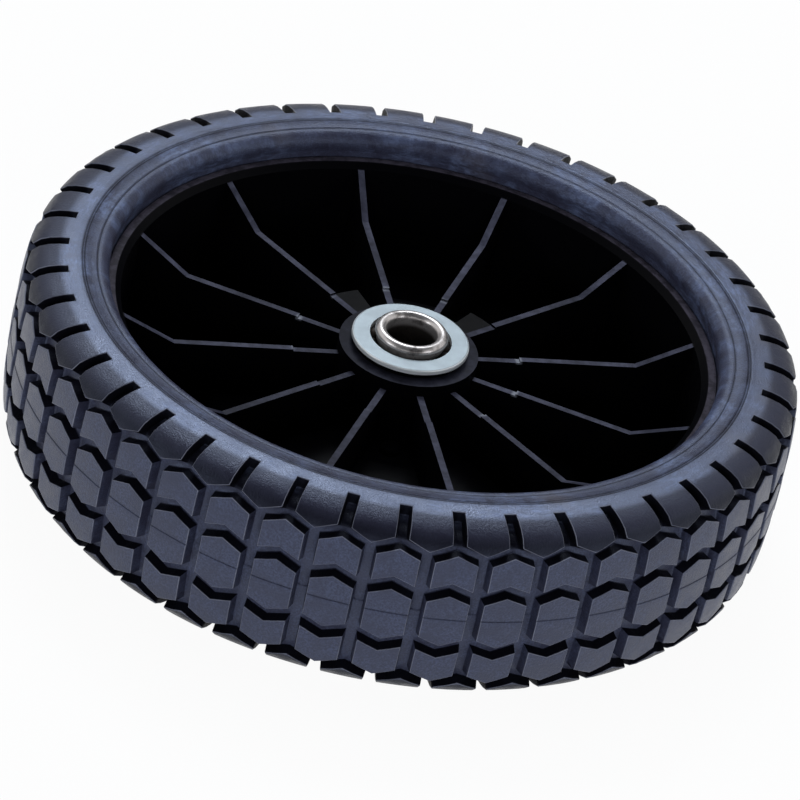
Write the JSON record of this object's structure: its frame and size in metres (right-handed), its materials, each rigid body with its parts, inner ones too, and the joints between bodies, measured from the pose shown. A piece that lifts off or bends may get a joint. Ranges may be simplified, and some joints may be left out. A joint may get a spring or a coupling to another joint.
{
  "type": "mower wheel",
  "caption": "Rubber-tyred plastic mower wheel with chevron tread, a ribbed hub and flanged ball bearings for a plain axle.",
  "frame": {"origin": "centre of the wheel, on its axis at the tyre's mid-plane", "axes": "+Z along the axle, out of the ribbed side that faces the mower; the wheel lies flat; +X along one rib"},
  "size_m": [0.1972, 0.1972, 0.05],
  "materials": {
    "tyre": "dusty moulded rubber",
    "rim": "black moulded plastic",
    "plated_steel": "dull zinc plate",
    "race_steel": "bright pressed steel",
    "ball_steel": "polished steel"
  },
  "bodies": {
    "wheel": {"tyre": "tyre", "rim": "rim", "inner_bearing_flanged_cup": "plated_steel", "inner_bearing_rear_shell": "plated_steel", "outer_bearing_flanged_cup": "plated_steel", "outer_bearing_rear_shell": "plated_steel"},
    "inner_race": {"inner_bearing_front_race": "race_steel", "inner_bearing_rear_race": "race_steel"},
    "inner_ball_set": {"inner_bearing_balls": "ball_steel"},
    "outer_race": {"outer_bearing_front_race": "race_steel", "outer_bearing_rear_race": "race_steel"},
    "outer_ball_set": {"outer_bearing_balls": "ball_steel"}
  },
  "joints": [
    {"name": "inner_race_spin", "type": "hinge", "parent": "wheel", "child": "inner_race", "pos_m": [0, 0, 0], "axis": [0, 0, 1], "continuous": true},
    {"name": "inner_ball_roll", "type": "hinge", "parent": "wheel", "child": "inner_ball_set", "pos_m": [0, 0, 0], "axis": [0, 0, 1], "continuous": true},
    {"name": "outer_race_spin", "type": "hinge", "parent": "wheel", "child": "outer_race", "pos_m": [0, 0, 0], "axis": [0, 0, 1], "continuous": true},
    {"name": "outer_ball_roll", "type": "hinge", "parent": "wheel", "child": "outer_ball_set", "pos_m": [0, 0, 0], "axis": [0, 0, 1], "continuous": true}
  ],
  "couplings": [
    {"joint": "inner_ball_roll", "follows": "inner_race_spin", "ratio": 0.37599},
    {"joint": "outer_ball_roll", "follows": "outer_race_spin", "ratio": 0.37599}
  ]
}
